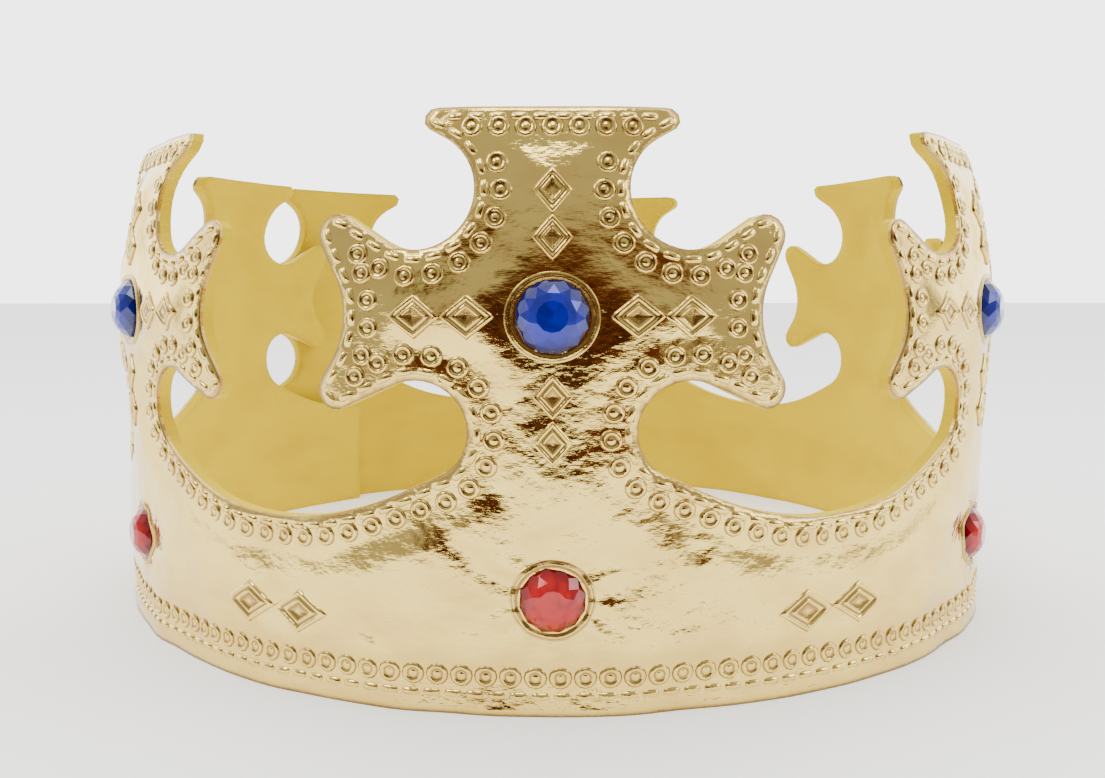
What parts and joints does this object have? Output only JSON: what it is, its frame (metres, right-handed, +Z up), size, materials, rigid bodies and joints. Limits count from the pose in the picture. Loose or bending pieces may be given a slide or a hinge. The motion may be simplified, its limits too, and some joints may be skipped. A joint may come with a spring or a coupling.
{
  "type": "costume crown",
  "caption": "Costume crown cut from one strip of gold metallised cover on yellow foam, with flared crosses, embossed edges and glued faceted gems, closed into a ring.",
  "frame": {"origin": "bottom centre of the bounding box, on the surface the crown stands on", "axes": "+Z up, -Y towards the front cross, +X to the right of someone who faces the front"},
  "size_m": [0.1914, 0.2066, 0.093],
  "materials": {
    "gold_cover": "bright metallised weave, heat embossed",
    "yellow_lining": "matt brushed foam",
    "blue_gem": "polished, faceted",
    "red_gem": "polished, faceted",
    "tape": "looped pile"
  },
  "bodies": {
    "root": {"gold_cover": "gold_cover", "foam_lining": "yellow_lining", "blue_gem_1": "blue_gem", "blue_gem_2": "blue_gem", "blue_gem_3": "blue_gem", "blue_gem_4": "blue_gem", "blue_gem_5": "blue_gem", "blue_gem_6": "blue_gem", "blue_gem_7": "blue_gem", "red_gem_1": "red_gem", "red_gem_2": "red_gem", "red_gem_3": "red_gem", "red_gem_4": "red_gem", "red_gem_5": "red_gem", "red_gem_6": "red_gem", "red_gem_7": "red_gem", "hook_tape": "tape", "loop_tape": "tape"}
  },
  "joints": []
}
